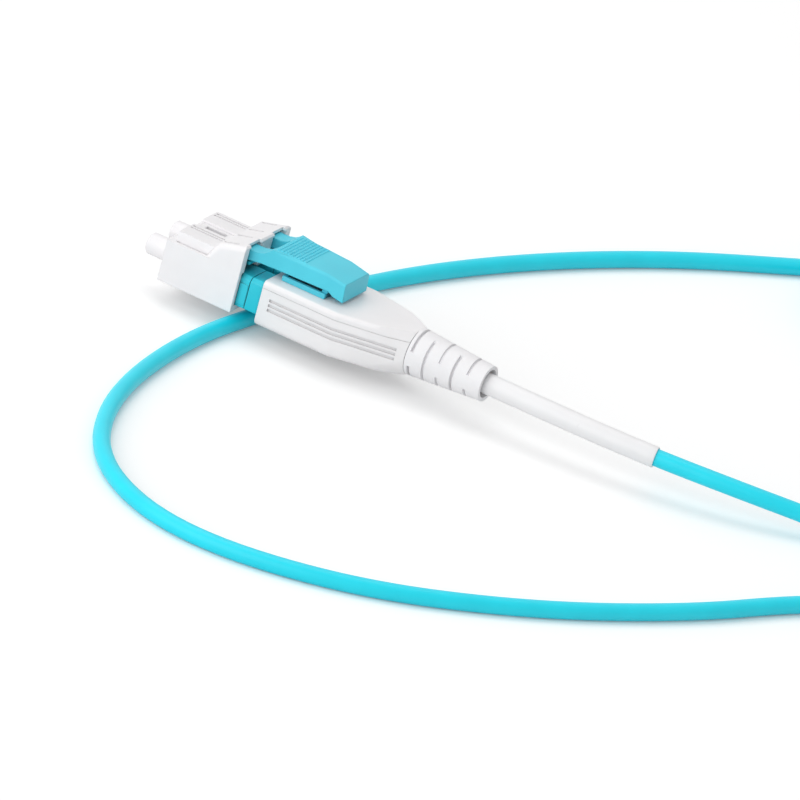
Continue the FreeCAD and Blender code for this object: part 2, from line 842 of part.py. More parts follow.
def make_crimp_ring():
    """The ring pressed round the crimp tube."""
    body = new_body("crimp_ring")
    sketch = new_sketch(body, "XZ_Plane")
    inner = "crimp_radius + crimp_fit / 2"
    add_box(
        sketch,
        "crimp_ring_front",
        "crimp_ring_front + crimp_ring_length",
        inner,
        f"{inner} + crimp_ring_wall",
    )
    turn(body, "Revolution", sketch)
    return body


def make_boot():
    """The tapering boot, hollow over the crimp and the sleeve, ringed by slots facing two ways in turn."""
    body = new_body("boot")
    socket = "crimp_radius + crimp_fit / 2 + crimp_ring_wall + crimp_fit"
    sketch = new_sketch(body, "XZ_Plane")
    add_outline(
        sketch,
        [
            ("housing_rear + seam", socket),
            ("boot_socket", socket),
            ("boot_socket", "boot_bore"),
            ("boot_rear", "boot_bore"),
            ("boot_rear", "boot_rear_radius"),
            ("housing_rear + seam", "housing_end_radius"),
        ],
    )
    turn(body, "Revolution", sketch)
    outside = "boot_bridge + 4 * overrun"
    for station in range(5):
        centre = f"boot_slot_start + {station} * boot_slot_pitch"
        role = "XZ_Plane" if station % 2 == 0 else "XY_Plane"
        slots = new_sketch(body, role)
        for low, high in (("boot_bridge", outside), (f"-({outside})", "-boot_bridge")):
            add_box(
                slots, f"{centre} - boot_slot_width / 2", f"{centre} + boot_slot_width / 2", low, high
            )
        add_feature(body, "Pocket", slots, "4 * housing_end_radius", both_ways=True)
    liner = new_sketch(body, "XZ_Plane")
    add_outline(
        liner,
        [
            ("housing_rear + seam", socket),
            ("boot_socket", socket),
            ("boot_socket", "boot_bore"),
            ("boot_rear", "boot_bore"),
            ("boot_rear", "boot_bore + boot_liner"),
            ("boot_socket + boot_liner", "boot_bore + boot_liner"),
            ("boot_socket + boot_liner", f"{socket} + boot_liner"),
            ("housing_rear + seam", f"{socket} + boot_liner"),
        ],
    )
    turn(body, "Revolution", liner)
    return body


# The trigger


def make_trigger_clip():
    """The clip on the housing's top: a shallow tray with a post at its rear that carries the trigger."""
    body = new_body("trigger_clip")
    base = new_sketch(body, "XY_Plane", "housing_top")
    add_box(base, "clip_front", "clip_rear", "-clip_half_width", "clip_half_width")
    add_feature(body, "Pad", base, "clip_rim")
    tray = new_sketch(body, "XY_Plane", "housing_top + clip_plate")
    inner = "clip_half_width - clip_rim_width"
    add_box(tray, "clip_front + clip_rim_width", "clip_rear - clip_post", f"-({inner})", inner)
    add_feature(body, "Pocket", tray, "clip_rim", backwards=True)
    post = new_sketch(body, "XY_Plane", "housing_top")
    add_box(post, "clip_rear - clip_post", "clip_rear", "-clip_post_half_width", "clip_post_half_width")
    add_feature(body, "Pad", post, "hinge_z - hinge_radius - hinge_play - housing_top")
    return body


def make_trigger():
    """The trigger: a broad plate that hangs down at its rear, and two fingers over the latch arms."""
    body = new_body("trigger")
    under = "plug_side / 2 + finger_lift"
    waist = f"{under} + finger_waist"
    side = new_sketch(body, "XZ_Plane")
    add_outline(
        side,
        [
            ("finger_tip", under),
            ("finger_tip + finger_foot", under),
            ("plate_front - finger_root", "plate_under + finger_root_rise"),
            ("plate_front + plate_lead", "plate_under"),
            ("hinge_x + droop_start", "plate_under"),
            ("hinge_x + droop_end", "plate_droop + droop_step"),
            ("plate_rear", "plate_droop"),
            ("plate_rear - plate_rear_lean", "plate_top_rear"),
            ("(plate_middle + plate_rear) / 2", "(plate_top_middle + plate_top_rear) / 2 + plate_crown"),
            ("plate_middle", "plate_top_middle"),
            ("plate_front + brow_run", "plate_top_front"),
            ("plate_front - brow_reach", "plate_top_front - brow_drop"),
            ("plate_front - neck_top", f"{waist} + neck_rise"),
            ("plate_front - neck_foot", f"{waist} + finger_swell"),
            ("plate_front - waist_reach", waist),
            ("finger_tip + finger_nose", f"{waist} + finger_swell"),
            ("finger_tip", f"{under} + finger_depth"),
        ],
    )
    add_feature(body, "Pad", side, "4 * plate_half_front", both_ways=True)
    outer = "(lc_pitch + finger_width) / 2"
    inner = "(lc_pitch - finger_width) / 2"
    plan = new_sketch(body, "XY_Plane")
    ends = ("finger_tip - 2 * overrun", "plate_rear + 2 * overrun")
    add_box(plan, *ends, "-3 * plate_half_front", "3 * plate_half_front")
    add_outline(
        plan,
        [
            ("finger_tip", outer),
            ("plate_front - shoulder_start", outer),
            ("plate_front + shoulder_end", "plate_half_front"),
            ("plate_rear", "plate_half_rear"),
            ("plate_rear", "-plate_half_rear"),
            ("plate_front + shoulder_end", "-plate_half_front"),
            ("plate_front - shoulder_start", f"-({outer})"),
            ("finger_tip", f"-({outer})"),
            ("finger_tip", f"-({inner})"),
            ("plate_front", f"-({inner})"),
            ("plate_front", inner),
            ("finger_tip", inner),
        ],
    )
    add_feature(body, "Pocket", plan, "4 * plate_top_front", both_ways=True)
    rib = new_sketch(body, "XZ_Plane")
    add_circle(rib, "hinge_x", "hinge_z", "hinge_radius")
    add_feature(body, "Pad", rib, "2 * clip_post_half_width", both_ways=True)
    corner_x, corner_y = value("plate_front"), value(inner)

    def is_slot_corner(edge):
        middle = edge.CenterOfMass
        upright = abs(edge.tangentAt(edge.FirstParameter).z) > 0.99
        return upright and abs(middle.x - corner_x) < SAME and abs(abs(middle.y) - corner_y) < SAME

    finish_edges(body, "Fillet", "plate_slot_corner", is_slot_corner)
    start, end = value("plate_front + shoulder_end"), value("plate_rear")

    def is_upper_side(edge):
        low, high = sorted(vertex.Point.x for vertex in edge.Vertexes)
        middle = edge.CenterOfMass
        along = low > start - SAME and high < end
        outer = abs(middle.y) > value("plate_half_rear - seam")
        return along and outer and middle.z > value("plate_top_rear - seam")

    finish_edges(body, "Fillet", "plate_rounding", is_upper_side)
    return body


# The cord


def rounded_path(points):
    """A wire of straight runs joined by tangent arcs, with the smallest arc radius and its total length."""
    spots = [Vector(*p) for p in points]
    edges, radii, here = [], [], spots[0]
    for before, corner, after in zip(spots, spots[1:], spots[2:]):
        back, on = (before - corner), (after - corner)
        half_turn = (math.pi - back.getAngle(on)) / 2
        reach = 0.45 * min(back.Length, on.Length)
        radius = reach / math.tan(half_turn)
        radii.append(radius)
        back.normalize()
        on.normalize()
        start, stop = corner + back * reach, corner + on * reach
        middle = (back + on).normalize() * (radius / math.cos(half_turn) - radius)
        edges.append(Part.LineSegment(here, start).toShape())
        edges.append(Part.Arc(start, corner + middle, stop).toShape())
        here = stop
    edges.append(Part.LineSegment(here, spots[-1]).toShape())
    return Part.Wire(edges), radii


def swept(wire, radius):
    """A solid round bar along a wire, whose volume has to be its section times its length."""
    start = wire.Edges[0]
    heading = start.tangentAt(start.FirstParameter)
    ring = Part.Wire([Part.makeCircle(radius, start.Vertexes[0].Point, heading)])
    bar = wire.makePipeShell([ring], True, False)
    expected = math.pi * radius**2 * wire.Length
    if abs(bar.Volume - expected) > 0.01 * expected:
        raise ValueError(f"a bar of {bar.Volume:.2f} along a wire that needs {expected:.2f}")
    return bar


def make_sleeve(label, points, start, end):
    """The tube slipped over the cord behind a boot, from one place along X to another."""
    wire, _ = rounded_path(points)
    low, high = min(start, end), max(start, end)
    room = 10
    kept = [edge for edge in wire.Edges if edge.BoundBox.XMin < high and edge.BoundBox.XMax > low - room]
    path = Part.Wire(Part.__sortEdges__(kept))
    outer = swept(path, value("sleeve_radius"))
    inner = swept(path, value("cord_diameter / 2 + sleeve_play"))
    box = outer.BoundBox
    slab = Part.makeBox(
        high - low,
        box.YLength + 2 * room,
        box.ZLength + 2 * room,
        Vector(low, box.YMin - room, box.ZMin - room),
    )
    return add_shape(label, outer.cut(inner).common(slab))


def make_fibre_tube(name, side):
    """The tube round one fibre, from its rear body to the crimp, where the two lie side by side."""
    offset = value("lc_pitch / 2")
    gathered = value("fibre_tube_gather")
    front = value("plug_length - spigot_length + spring_play")
    behind = value("plug_length + seam + rear_body_length")
    crimp = value("crimp_front")
    points = [
        (front, side * offset, 0),
        (behind + value("fibre_tube_lead"), side * offset, 0),
        (crimp - value("fibre_tube_lead"), side * gathered, 0),
        (value("cord_start - fibre_tube_end_gap"), side * gathered, 0),
    ]
    wire, _ = rounded_path(points)
    return add_shape(f"fibre_tube_{name}", swept(wire, value("fibre_tube_radius")))


def make_cords():
    """The cord from the near crimp to the coil, the coil, and the lead from it to the far crimp."""
    radius = value("cord_diameter / 2")
    laid = 0.0
    for label, points in (("cord", ROUTE), ("cord_far_lead", FAR_ROUTE)):
        wire, radii = rounded_path(points)
        print(label, "length", round(wire.Length, 1), "radii", [round(r, 1) for r in radii])
        laid += wire.Length
        add_shape(label, swept(wire, radius))
    diameter = value("cord_diameter")
    turns = (value("cord_length") - laid) / (2 * math.pi * value("coil_radius"))
    rows = math.ceil(turns / value("coil_columns"))
    print("coil turns", round(turns, 2), "rows", rows)
    width = value("coil_columns") * diameter
    ring = doc.addObject("PartDesign::Body", "cord_coil")
    ring.Label = "cord_coil"
    sketch = new_sketch(ring, "XZ_Plane")
    middle, half = value("coil_radius"), width / 2
    top = f"-floor_drop + {rows * diameter}"
    add_box(sketch, f"{middle - half}", f"{middle + half}", "-floor_drop", top)
    turn(ring, "Revolution", sketch, "Z_Axis")
    bind(ring, "Placement.Base.x", "coil_x")
    bind(ring, "Placement.Base.y", "coil_y")


def make_connector():
    """Every piece of one connector but its sleeve, in place."""
    pieces = []
    for name, side in SIDES.items():
        for make in (make_plug_body, make_rear_body, make_latch_arm, make_ferrule, make_flange, make_spring,
                     make_fibre_tube):
            pieces.append(make(name, side))
    pieces += [make_dust_cap(), make_housing_shell("housing_top", True)]
    pieces += [make_housing_shell("housing_bottom", False), make_crimp_body(), make_crimp_ring()]
    pieces += [make_boot(), make_trigger_clip(), make_trigger()]
    return pieces


def make_far_connector(pieces):
    """The same connector again at the cord's other end, on its underside, without its sealed pieces."""
    for piece in pieces:
        if piece.Name.startswith(SEALED):
            continue
        copy = doc.addObject("App::Link", f"far_{piece.Name}")
        copy.Label = f"far_{piece.Label}"
        copy.LinkedObject = piece
        copy.LinkTransform = True
        bind(copy, "Placement.Base.x", "far_x")
        bind(copy, "Placement.Base.y", "far_y")
        bind(copy, "Placement.Base.z", "housing_under - floor_drop")


def write_parts():
    """Check every object of the document and write each piece to a file with its own name."""
    doc.recompute()
    for thing in doc.Objects:
        if "Invalid" in thing.State or "Error" in thing.State:
            raise ValueError(f"{thing.Label} is {thing.State}: {thing.getStatusString()}")
    os.makedirs("parts", exist_ok=True)
    kinds = ("PartDesign::Body", "Part::Feature", "App::Link")
    for thing in doc.Objects:
        if thing.TypeId in kinds:
            shape = Part.getShape(thing)
            if shape.isNull() or not shape.isValid() or not shape.Solids:
                raise ValueError(f"{thing.Label} has no valid solid")
            shape.exportStep(f"parts/{thing.Label}.step")


def main():
    fill_sheet()
    pieces = make_connector()
    make_sleeve("furcation_sleeve", ROUTE, value("boot_socket"), value("sleeve_end"))
    far_start, far_end = value("far_x + boot_socket"), value("far_x + sleeve_end")
    make_sleeve("far_furcation_sleeve", FAR_ROUTE[::-1], far_start, far_end)
    make_cords()
    make_far_connector(pieces)
    write_parts()


main()
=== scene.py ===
"""A duplex fibre connector on its patch cord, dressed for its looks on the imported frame.

The cord leaves the connector's boot inside a short sleeve, turns back under the connector in one
wide loop and runs into a neat coil. A second, equal connector ends it. All sizes are in metres, in
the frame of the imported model.
"""

import logging
import math
from collections.abc import Sequence
from dataclasses import dataclass, field, replace
from enum import Enum

import bmesh
import bpy
from mathutils import Matrix, Vector


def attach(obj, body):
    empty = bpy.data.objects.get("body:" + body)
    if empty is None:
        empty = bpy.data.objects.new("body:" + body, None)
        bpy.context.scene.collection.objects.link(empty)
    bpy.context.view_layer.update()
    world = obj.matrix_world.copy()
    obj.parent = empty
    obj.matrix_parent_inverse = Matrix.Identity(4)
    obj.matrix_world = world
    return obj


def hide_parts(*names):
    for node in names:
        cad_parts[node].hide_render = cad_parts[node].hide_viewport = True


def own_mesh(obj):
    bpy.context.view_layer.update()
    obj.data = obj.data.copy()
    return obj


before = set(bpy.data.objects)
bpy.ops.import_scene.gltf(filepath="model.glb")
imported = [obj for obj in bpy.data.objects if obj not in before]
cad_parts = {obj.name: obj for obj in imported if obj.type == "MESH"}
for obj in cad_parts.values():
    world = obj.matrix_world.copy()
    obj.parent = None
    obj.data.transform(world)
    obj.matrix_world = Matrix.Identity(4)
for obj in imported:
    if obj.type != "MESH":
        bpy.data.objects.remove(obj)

log = logging.getLogger("fibre_connector")

Colour = tuple[float, float, float]
Point = tuple[float, float, float]

ROOT_BODY = "connector"
SIDES = ("left", "right")
FLOOR_Z = -0.0059
CORD_Z = -0.00475
SLEEVE_START, SLEEVE_END = 0.0388, 0.0690
FAR_ORIGIN = (0.0370, 0.1270, -0.00245)

# where a noise's lower and upper tones lie, and how far wear moves the roughness
DRIFT_LOW, DRIFT_HIGH = 0.3, 0.7
WEAR_SPREAD = 0.12
PLASTIC_IOR = 1.46
GLOW_REACH = (1.0, 0.95, 0.9)
EDGE_SAMPLES = 6

# how much open room around a point counts as a crevice, and as none, for the painted shade in
# crevices
CREVICE_SHADE_SPAN = (0.35, 0.85)
CREVICE_SHADE_SAMPLES = 12

# a Mix node's colour sockets, which share their names with its other kinds
MIX_FIRST, MIX_SECOND, MIX_RESULT = 6, 7, 2

# the clip's well between its rims, and the colour of the painted shade in it
WELL_HALF_WIDTH = 0.00308
WELL_RIM = 0.00356
WELL_BLUR = 0.00004
WELL_SHADE_COLOUR = (0.004, 0.12, 0.17)


# --------------------------------------------------------------------------------------------------
# Finishes
# --------------------------------------------------------------------------------------------------


class Texture(Enum):
    """What a moulded surface carries besides its grain: nothing, or painted shade in the clip's
    well.
    """

    NONE = "none"
    SHADED_WELL = "shaded well"


class NodeBench:
    """A material's node tree, with short ways to add and join its nodes."""

    def __init__(self, name: str) -> None:
        """Start an empty material with an output node.

        Args:
            name: The material's name.
        """
        self.material = bpy.data.materials.new(name)
        self.material.use_nodes = True
        self.tree = self.material.node_tree
        self.tree.nodes.clear()
        self.output = self.tree.nodes.new("ShaderNodeOutputMaterial")

    def add(self, kind: str, **settings: object) -> bpy.types.Node:
        """Add a node.

        Args:
            kind: The node's type name.
            **settings: Properties to set on it.

        Returns:
            The new node.
        """
        node = self.tree.nodes.new(kind)
        for name, setting in settings.items():
            setattr(node, name, setting)
        return node

    def join(self, start: bpy.types.NodeSocket, end: bpy.types.NodeSocket) -> None:
        """Link one socket to another.

        Args:
            start: The socket that gives.
            end: The socket that takes.
        """
        self.tree.links.new(start, end)

    def place(self) -> bpy.types.NodeSocket:
        """Add the position on the piece.

        Returns:
            The position in metres, in the object's own frame.
        """
        return self.add("ShaderNodeTexCoord").outputs["Object"]

    def noise(
        self, size: float, detail: float = 3.0, roughness: float = 0.55
    ) -> bpy.types.NodeSocket:
        """Add a noise whose features are about as large as size.

        Args:
            size: Feature size in metres.
            detail: Octaves of the noise.
            roughness: How much the finer octaves count.

        Returns:
            The noise's value, about 0 to 1.
        """
        node = self.add("ShaderNodeTexNoise")
        self.join(self.place(), node.inputs["Vector"])
        node.inputs["Scale"].default_value = 1.0 / size
        node.inputs["Detail"].default_value = detail
        node.inputs["Roughness"].default_value = roughness
        return node.outputs["Fac"]

    def ramp(
        self,
        value: bpy.types.NodeSocket,
        low: tuple[float, Sequence[float]],
        high: tuple[float, Sequence[float]],
    ) -> bpy.types.NodeSocket:
        """Turn a value into a colour between two stops.

        Args:
            value: The value to look up.
            low: Position and colour of the first stop.
            high: Position and colour of the last stop.

        Returns:
            The colour.
        """
        node = self.add("ShaderNodeValToRGB")
        for element, (position, colour) in zip(node.color_ramp.elements, (low, high)):
            element.position = position
            element.color = (*colour, 1.0)
        self.join(value, node.inputs["Fac"])
        return node.outputs["Color"]

    def maths(self, operation: str, *terms: object) -> bpy.types.NodeSocket:
        """Add a Math node.

        Args:
            operation: The node's operation.
            *terms: Its inputs in order, each a socket or a number.

        Returns:
            The result.
        """
        node = self.add("ShaderNodeMath", operation=operation)
        for socket, term in zip(node.inputs, terms):
            if isinstance(term, bpy.types.NodeSocket):
                self.join(term, socket)
            else:
                socket.default_value = float(term)
        return node.outputs[0]

    def remap(
        self,
        value: bpy.types.NodeSocket,
        span: tuple[float, float],
        levels: tuple[float, float],
        smooth: bool = False,
    ) -> bpy.types.NodeSocket:
        """Map a span of values to a span of levels, and hold the levels outside it.

        Args:
            value: The value to map.
            span: Where the slope starts and ends.
            levels: The result at both places.
            smooth: Whether the slope eases in and out.

        Returns:
            The result.
        """
        slope = "SMOOTHSTEP" if smooth else "LINEAR"
        node = self.add("ShaderNodeMapRange", interpolation_type=slope)
        self.join(value, node.inputs["Value"])
        for name, setting in zip(("From Min", "From Max", "To Min", "To Max"), (*span, *levels)):
            node.inputs[name].default_value = setting
        return node.outputs["Result"]

    def bump(
        self, height: bpy.types.NodeSocket, depth: float, below: bpy.types.NodeSocket | None = None
    ) -> bpy.types.NodeSocket:
        """Add a bump.

        Args:
            height: Height, about 0 to 1.
            depth: The height that 1 stands for, in metres.
            below: The normal of a bump under this one.

        Returns:
            The bent normal.
        """
        node = self.add("ShaderNodeBump")
        node.inputs["Strength"].default_value = 1.0
        node.inputs["Distance"].default_value = depth
        self.join(height, node.inputs["Height"])
        if below is not None:
            self.join(below, node.inputs["Normal"])
        return node.outputs["Normal"]


@dataclass(frozen=True)
class Moulded:
    """Moulded plastic: an even colour with a slight drift, a fine grain and a soft gloss, with
    painted shade in crevices or in a well where asked.
    """

    name: str
    colour: Colour
    shade: Colour
    roughness: float = 0.4
    drift_size: float = 0.004
    grain_size: float = 0.00012
    grain_depth: float = 0.000004
    edge: float = 0.0
    crevice: float = 0.0
    crevice_shade_level: float = 0.68
    glow: float = 0.0
    glow_depth: float = 0.0006
    texture: Texture = Texture.NONE
    origin: Point = (0.0, 0.0, 0.0)

    def at(self, prefix: str, origin: Point) -> "Moulded":
        """The same finish for a connector that stands elsewhere.

        Args:
            prefix: What the new finish's name begins with.
            origin: Where that connector's frame stands.

        Returns:
            The finish, or this one if it doesn't depend on the place.
        """
        if self.texture is Texture.NONE or not prefix:
            return self
        return replace(self, name=prefix + self.name, origin=origin)

    def material(self) -> bpy.types.Material:
        """Build the finish as a material, once.

        Returns:
            The material.
        """
        made = bpy.data.materials.get(self.name)
        if made is not None:
            return made
        bench = NodeBench(self.name)
        shader = bench.add("ShaderNodeBsdfPrincipled")
        drift = bench.noise(self.drift_size, detail=2.0)
        tint = bench.ramp(drift, (DRIFT_LOW, self.shade), (DRIFT_HIGH, self.colour))
        if self.texture is Texture.SHADED_WELL:
            tint = self.paint_well_shade(bench, tint)
        # painted shade: the colour darkens in crevices, gaps and slits, where shade falls
        if self.crevice:
            tint = self.paint_crevice_shade(bench, tint)
        bench.join(tint, shader.inputs["Base Color"])
        wear = bench.noise(self.drift_size * 0.5, detail=4.0)
        spread = bench.maths("MULTIPLY_ADD", wear, WEAR_SPREAD, self.roughness - WEAR_SPREAD / 2)
        bench.join(spread, shader.inputs["Roughness"])
        edges = None
        if self.edge:
            worn = bench.add("ShaderNodeBevel", samples=EDGE_SAMPLES)
            worn.inputs["Radius"].default_value = self.edge
            edges = worn.outputs["Normal"]
        grain = bench.bump(bench.noise(self.grain_size, detail=2.0), self.grain_depth, edges)
        bench.join(grain, shader.inputs["Normal"])
        shader.inputs["IOR"].default_value = PLASTIC_IOR
        if self.glow:
            shader.inputs["Subsurface Weight"].default_value = self.glow
            shader.inputs["Subsurface Radius"].default_value = GLOW_REACH
            shader.inputs["Subsurface Scale"].default_value = self.glow_depth
        bench.join(shader.outputs["BSDF"], bench.output.inputs["Surface"])
        return bench.material

    def axes(self, bench: NodeBench) -> list[bpy.types.NodeSocket]:
        """The three coordinates of the position in the connector's own frame.

        Args:
            bench: The material's bench.

        Returns:
            X, Y and Z, in metres.
        """
        moved = bench.add("ShaderNodeVectorMath", operation="SUBTRACT")
        bench.join(bench.place(), moved.inputs[0])
        moved.inputs[1].default_value = self.origin
        parts = bench.add("ShaderNodeSeparateXYZ")
        bench.join(moved.outputs[0], parts.inputs["Vector"])
        return list(parts.outputs)

    def band(
        self,
        bench: NodeBench,
        coordinate: bpy.types.NodeSocket,
        low: float,
        high: float,
        blur: float,
    ) -> bpy.types.NodeSocket:
        """A mask that is 1 where a coordinate lies between two values and 0 elsewhere.

        Args:
            bench: The material's bench.
            coordinate: The coordinate.
            low: Where the mask rises.
            high: Where it falls.
            blur: How wide each of its two slopes is.

        Returns:
            The mask.
        """
        sides = [
            bench.remap(coordinate, (edge - blur / 2, edge + blur / 2), levels, smooth=True)
            for edge, levels in ((low, (0.0, 1.0)), (high, (1.0, 0.0)))
        ]
        return bench.maths("MULTIPLY", *sides)

    def paint_crevice_shade(self, bench: NodeBench, tint: bpy.types.NodeSocket) -> bpy.types.NodeSocket:
        """Painted shade: a darker colour in narrow slits, grooves and gaps, where shade falls.

        Args:
            bench: The material's bench.
            tint: The finish's colour.

        Returns:
            The colour, darkened with painted shade where walls stand close together.
        """
        room = bench.add("ShaderNodeAmbientOcclusion", samples=CREVICE_SHADE_SAMPLES)
        room.inputs["Distance"].default_value = self.crevice
        depth = bench.remap(room.outputs["AO"], CREVICE_SHADE_SPAN, (self.crevice_shade_level, 1.0))
        mix = bench.add("ShaderNodeVectorMath", operation="SCALE")
        bench.join(tint, mix.inputs[0])
        bench.join(depth, mix.inputs["Scale"])
        return mix.outputs[0]

    def paint_well_shade(self, bench: NodeBench, tint: bpy.types.NodeSocket) -> bpy.types.NodeSocket:
        """Painted shade: a dark colour on the clip between its rims, where the trigger's plate
        shades it.

        Args:
            bench: The material's bench.
            tint: The clip's colour.

        Returns:
            The colour, much darker in the well, with painted shade.
        """
        across, up = self.axes(bench)[1:]
        mask = bench.maths(
            "MULTIPLY",
            self.band(bench, across, -WELL_HALF_WIDTH, WELL_HALF_WIDTH, WELL_BLUR),
            self.band(bench, up, 0.0, WELL_RIM, WELL_BLUR),
        )
        mix = bench.add("ShaderNodeMix", data_type="RGBA", blend_type="MIX")
        bench.join(mask, mix.inputs["Factor"])
        bench.join(tint, mix.inputs[MIX_FIRST])
        mix.inputs[MIX_SECOND].default_value = (*WELL_SHADE_COLOUR, 1.0)
        return mix.outputs[MIX_RESULT]


@dataclass(frozen=True)
class Metal:
    """Bare metal with a fine turned grain."""

    name: str
    colour: Colour
    roughness: float = 0.3
    streak_size: float = 0.0002
    streak_depth: float = 0.000003
    streak_shade: float = 0.8

    def material(self) -> bpy.types.Material:
        """Build the finish as a material, once.

        Returns:
            The material.
        """
        made = bpy.data.materials.get(self.name)
        if made is not None:
            return made
        bench = NodeBench(self.name)
        shader = bench.add("ShaderNodeBsdfPrincipled")
        shader.inputs["Metallic"].default_value = 1.0
        streak = bench.noise(self.streak_size)
        darker = tuple(self.streak_shade * part for part in self.colour)
        tint = bench.ramp(streak, (DRIFT_LOW, darker), (DRIFT_HIGH, self.colour))
        bench.join(tint, shader.inputs["Base Color"])
        shader.inputs["Roughness"].default_value = self.roughness
        bench.join(bench.bump(streak, self.streak_depth), shader.inputs["Normal"])
        bench.join(shader.outputs["BSDF"], bench.output.inputs["Surface"])
        return bench.material


AQUA_JACKET = Moulded(
    "aqua_jacket",
    (0.010, 0.76, 0.92),
    (0.008, 0.72, 0.88),
    grain_size=0.0003,
)
AQUA_MOULDED = Moulded(
    "aqua_moulded",
    (0.025, 0.60, 0.73),
    (0.020, 0.56, 0.69),
    roughness=0.35,
    edge=0.0001,
    # painted shade, deep in the gaps under the trigger's fingers and between the pieces
    crevice=0.0014,
    crevice_shade_level=0.2,
)
TRIGGER_BLUE = Moulded(
    "trigger_blue",
    (0.085, 0.65, 0.80),
    (0.080, 0.62, 0.77),
    roughness=0.45,
    edge=0.0002,
)
GRID_BLUE = replace(TRIGGER_BLUE, name="grid_blue", edge=0.00003)
CLIP_BLUE = Moulded(
    "clip_blue",
    (0.080, 0.58, 0.72),
    (0.070, 0.55, 0.69),
    edge=0.00006,
    # painted shade in the well under the trigger's plate
    texture=Texture.SHADED_WELL,
)
CAP_WHITE = Moulded(
    "cap_white",
    (0.89, 0.875, 0.89),
    (0.86, 0.845, 0.86),
    roughness=0.38,
    edge=0.00012,
    # painted shade in the slits of the ridges
    crevice=0.0003,
    glow=0.15,
)
HOUSING_WHITE = Moulded(
    "housing_white",
    (0.89, 0.875, 0.885),
    (0.865, 0.85, 0.86),
    roughness=0.35,
    edge=0.00008,
    # painted shade in the grooves along the sides
    crevice=0.0004,
    glow=0.1,
)
BOOT_WHITE = Moulded(
    "boot_white",
    (0.88, 0.87, 0.885),
    (0.85, 0.84, 0.855),
    roughness=0.55,
    edge=0.00008,
    glow=0.1,
)
SLEEVE_WHITE = Moulded(
    "sleeve_white",
    (0.89, 0.885, 0.895),
    (0.87, 0.86, 0.87),
    roughness=0.3,
    glow=0.1,
)
TUBE_WHITE = Moulded("tube_white", (0.75, 0.75, 0.70), (0.70, 0.70, 0.66), roughness=0.5)
CERAMIC_WHITE = Moulded(
    "ceramic_white",
    (0.85, 0.84, 0.80),
    (0.82, 0.81, 0.77),
    roughness=0.15,
    grain_depth=0.000001,
)
FLANGE_STEEL = Metal("flange_steel", (0.62, 0.61, 0.59))
SPRING_STEEL = Metal("spring_steel", (0.55, 0.55, 0.56), roughness=0.25)


# --------------------------------------------------------------------------------------------------
# The patch cord
# --------------------------------------------------------------------------------------------------


